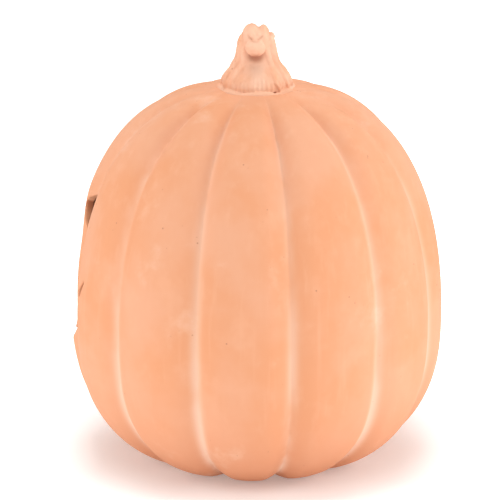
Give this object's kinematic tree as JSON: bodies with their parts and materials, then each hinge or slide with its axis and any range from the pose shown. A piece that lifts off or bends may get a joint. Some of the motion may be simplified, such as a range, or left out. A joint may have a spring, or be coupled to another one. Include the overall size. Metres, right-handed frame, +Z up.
{
  "type": "jack-o'-lantern",
  "caption": "Hollow ribbed terracotta pumpkin with a cut-out face and a curled stem, open underneath, standing over a battery tealight.",
  "frame": {"origin": "on the table, under the middle of the pumpkin", "axes": "+Z up, the face looks along -Y, +X to the pumpkin's left side, which its stem curls towards"},
  "size_m": [0.2518, 0.2484, 0.3],
  "materials": {
    "terracotta": "unglazed fired clay with lime bloom in the grooves",
    "white_plastic": "satin",
    "flame_plastic": "translucent amber",
    "black_plastic": "satin",
    "led_epoxy": "clear amber",
    "cell_steel": "brushed",
    "contact_steel": "nickel plated"
  },
  "bodies": {
    "light": {"tealight_housing": "white_plastic", "base_plate": "white_plastic", "coin_cell": "cell_steel", "negative_contact": "contact_steel", "positive_contact": "contact_steel", "led_lamp": "led_epoxy", "anode_lead": "contact_steel", "cathode_lead": "contact_steel", "flame_diffuser": "flame_plastic"},
    "pumpkin": {"pumpkin_shell": "terracotta", "stem": "terracotta"},
    "door": {"battery_door": "white_plastic"},
    "switch": {"switch_knob": "black_plastic"}
  },
  "joints": [
    {"name": "pumpkin_lift", "type": "slide", "parent": "light", "child": "pumpkin", "axis": [0, 0, 1], "range_m": [0, 0.32]},
    {"name": "door_twist", "type": "hinge", "parent": "light", "child": "door", "pos_m": [-0.003, 0, 0.0017], "axis": [0, 0, 1], "range_deg": [-40, 0]},
    {"name": "switch_slide", "type": "slide", "parent": "light", "child": "switch", "axis": [0, 1, 0], "range_m": [0, 0.003]}
  ]
}
